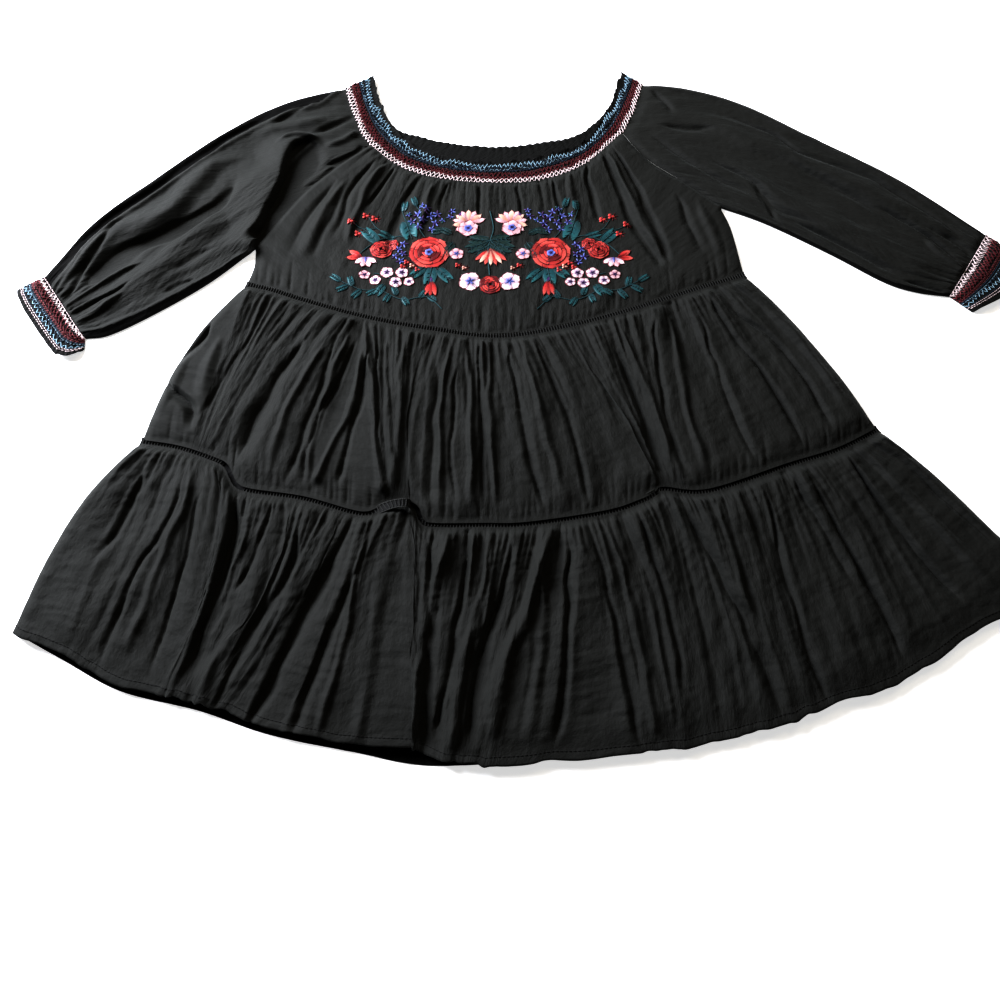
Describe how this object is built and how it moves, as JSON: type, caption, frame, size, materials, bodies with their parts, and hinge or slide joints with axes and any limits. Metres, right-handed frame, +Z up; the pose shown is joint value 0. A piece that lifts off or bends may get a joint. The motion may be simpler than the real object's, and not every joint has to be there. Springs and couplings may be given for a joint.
{
  "type": "tiered dress",
  "caption": "Black tiered dress laid flat, with a smocked neckband and cuffs, long raglan sleeves, ladder trims between its gathered tiers and a flower spray on the bodice.",
  "frame": {"origin": "centre of the laid dress's outline, on the surface it lies on", "axes": "+Z up from the surface to the front of the dress, +Y from the hem to the neck, +X to the right in the picture, towards the wearer's left sleeve"},
  "size_m": [1.087, 0.833, 0.0219],
  "materials": {
    "rayon": "black woven rayon with a soft sheen",
    "smocked": "black rayon smocked with white-pink, dark red and blue zigzag threads",
    "trim": "black ladder trim"
  },
  "bodies": {
    "root": {"neckband_front": "smocked", "neckband_back": "rayon", "bodice_front": "rayon", "bodice_back": "rayon", "upper_trim_front": "trim", "upper_trim_back": "trim", "lower_trim_front": "trim", "lower_trim_back": "trim", "middle_tier_front": "rayon", "middle_tier_back": "rayon", "lower_tier_front": "rayon", "lower_tier_back": "rayon", "sleeve_left": "rayon", "sleeve_right": "rayon", "cuff_left": "smocked", "cuff_right": "smocked"}
  },
  "joints": []
}
